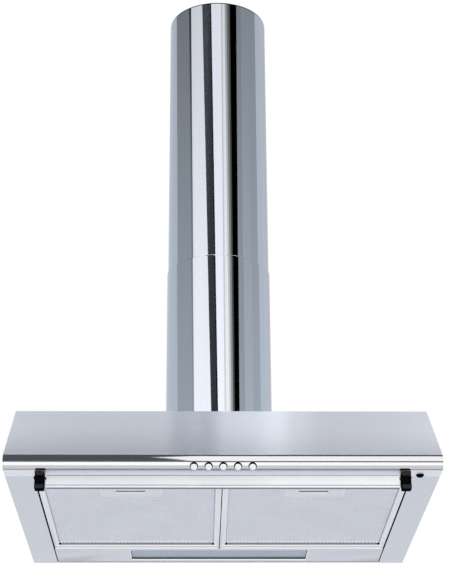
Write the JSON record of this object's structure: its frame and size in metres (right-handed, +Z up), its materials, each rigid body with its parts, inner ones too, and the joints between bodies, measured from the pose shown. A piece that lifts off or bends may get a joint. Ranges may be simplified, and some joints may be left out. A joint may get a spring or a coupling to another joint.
{
  "type": "wall mount range hood",
  "caption": "Wall mounted kitchen extractor hood with a sloped brushed steel canopy, round telescopic chimney, push buttons, grease filters, lamp strip and tilting steam visor.",
  "frame": {"origin": "centre of the four wall holes, on the wall plane", "axes": "+X to the right seen from the room, +Y into the wall, +Z up"},
  "size_m": [0.6, 0.5026, 0.991],
  "materials": {
    "steel": "fine horizontal brush, satin",
    "chimney_steel": "fine vertical brush, semi bright",
    "bright_steel": "bright, lightly polished",
    "galvanised": "plain zinc coated",
    "frame_aluminium": "satin anodised",
    "mesh_aluminium": "expanded mesh",
    "black_plastic": "fine grained",
    "white_plastic": "smooth",
    "ceramic": "smooth",
    "lens_glass": "frosted",
    "bulb_glass": "frosted",
    "motor_paint": "satin",
    "zinc_sheet": "plain zinc coated"
  },
  "bodies": {
    "root": {"top_panel": "steel", "front_panel": "steel", "cheek_left": "steel", "cheek_right": "steel", "lamp_panel": "steel", "chimney_lower": "chimney_steel", "chimney_screws": "bright_steel", "lamp_panel_rivets": "bright_steel", "blower_screws": "bright_steel", "motor_screws": "bright_steel", "collar_screws": "bright_steel", "damper_pin": "bright_steel", "lamp_tray": "bright_steel", "back_panel": "galvanised", "chimney_clips": "galvanised", "visor_screws": "galvanised", "blower_spacers": "galvanised", "capacitor_clip": "galvanised", "visor_bracket_left": "black_plastic", "visor_bracket_right": "black_plastic", "switch_housing": "black_plastic", "outlet_collar": "black_plastic", "junction_box": "black_plastic", "junction_lid": "black_plastic", "cable_gland": "black_plastic", "strip_plug": "black_plastic", "capacitor": "white_plastic", "lampholder_left": "ceramic", "lampholder_right": "ceramic", "bulb_left": "bulb_glass", "bulb_right": "bulb_glass", "motor": "motor_paint", "blower_housing": "zinc_sheet", "blower_lid": "zinc_sheet"},
    "visor": {"visor_bar": "bright_steel", "visor_pins": "bright_steel"},
    "filter_left": {"filter_frame_left": "frame_aluminium", "filter_mesh_left": "mesh_aluminium"},
    "filter_right": {"filter_frame_right": "frame_aluminium", "filter_mesh_right": "mesh_aluminium"},
    "latch_left": {"filter_latch_left": "galvanised"},
    "latch_right": {"filter_latch_right": "galvanised"},
    "lens": {"lamp_lens": "lens_glass"},
    "fan": {"impeller": "black_plastic", "motor_shaft": "bright_steel"},
    "damper_front": {"damper_flap_front": "frame_aluminium"},
    "damper_rear": {"damper_flap_rear": "frame_aluminium"},
    "chimney_top": {"chimney_upper": "chimney_steel", "chimney_bracket": "galvanised"},
    "key_1": {"button_1": "white_plastic"},
    "key_2": {"button_2": "white_plastic"},
    "key_3": {"button_3": "white_plastic"},
    "key_4": {"button_4": "white_plastic"},
    "key_5": {"button_5": "white_plastic"}
  },
  "joints": [
    {"name": "visor_tilt", "type": "hinge", "parent": "root", "child": "visor", "pos_m": [0, -0.478, -0.0785], "axis": [-1, 0, 0], "range_deg": [0, 75]},
    {"name": "filter_left_drop", "type": "hinge", "parent": "root", "child": "filter_left", "pos_m": [-0.1299, -0.0853, -0.0695], "axis": [1, 0, 0], "range_deg": [0, 60]},
    {"name": "filter_right_drop", "type": "hinge", "parent": "root", "child": "filter_right", "pos_m": [0.1299, -0.0853, -0.0695], "axis": [1, 0, 0], "range_deg": [0, 60]},
    {"name": "latch_left_slide", "type": "slide", "parent": "filter_left", "child": "latch_left", "axis": [0, 1, 0], "range_m": [0, 0.005], "stiffness_N_per_m": 400, "springref_m": -0.002},
    {"name": "latch_right_slide", "type": "slide", "parent": "filter_right", "child": "latch_right", "axis": [0, 1, 0], "range_m": [0, 0.005], "stiffness_N_per_m": 400, "springref_m": -0.002},
    {"name": "lens_drop", "type": "slide", "parent": "root", "child": "lens", "axis": [0, 0, -1], "range_m": [0, 0.06]},
    {"name": "fan_spin", "type": "hinge", "parent": "root", "child": "fan", "pos_m": [0, -0.24, 0], "axis": [0, 0, 1], "continuous": true},
    {"name": "damper_front_lift", "type": "hinge", "parent": "root", "child": "damper_front", "pos_m": [0, -0.089, 0.081], "axis": [-1, 0, 0], "range_deg": [0, 75]},
    {"name": "damper_rear_lift", "type": "hinge", "parent": "root", "child": "damper_rear", "pos_m": [0, -0.089, 0.081], "axis": [1, 0, 0], "range_deg": [0, 75]},
    {"name": "chimney_height", "type": "slide", "parent": "root", "child": "chimney_top", "axis": [0, 0, 1], "range_m": [-0.22, 0.03]},
    {"name": "key_1_press", "type": "slide", "parent": "root", "child": "key_1", "axis": [0, 0.7071, 0.7071], "range_m": [0, 0.0025], "stiffness_N_per_m": 400, "springref_m": -0.002},
    {"name": "key_2_press", "type": "slide", "parent": "root", "child": "key_2", "axis": [0, 0.7071, 0.7071], "range_m": [0, 0.0025], "stiffness_N_per_m": 400, "springref_m": -0.002},
    {"name": "key_3_press", "type": "slide", "parent": "root", "child": "key_3", "axis": [0, 0.7071, 0.7071], "range_m": [0, 0.0025], "stiffness_N_per_m": 400, "springref_m": -0.002},
    {"name": "key_4_press", "type": "slide", "parent": "root", "child": "key_4", "axis": [0, 0.7071, 0.7071], "range_m": [0, 0.0025], "stiffness_N_per_m": 400, "springref_m": -0.002},
    {"name": "key_5_press", "type": "slide", "parent": "root", "child": "key_5", "axis": [0, 0.7071, 0.7071], "range_m": [0, 0.0025], "stiffness_N_per_m": 400, "springref_m": -0.002}
  ]
}
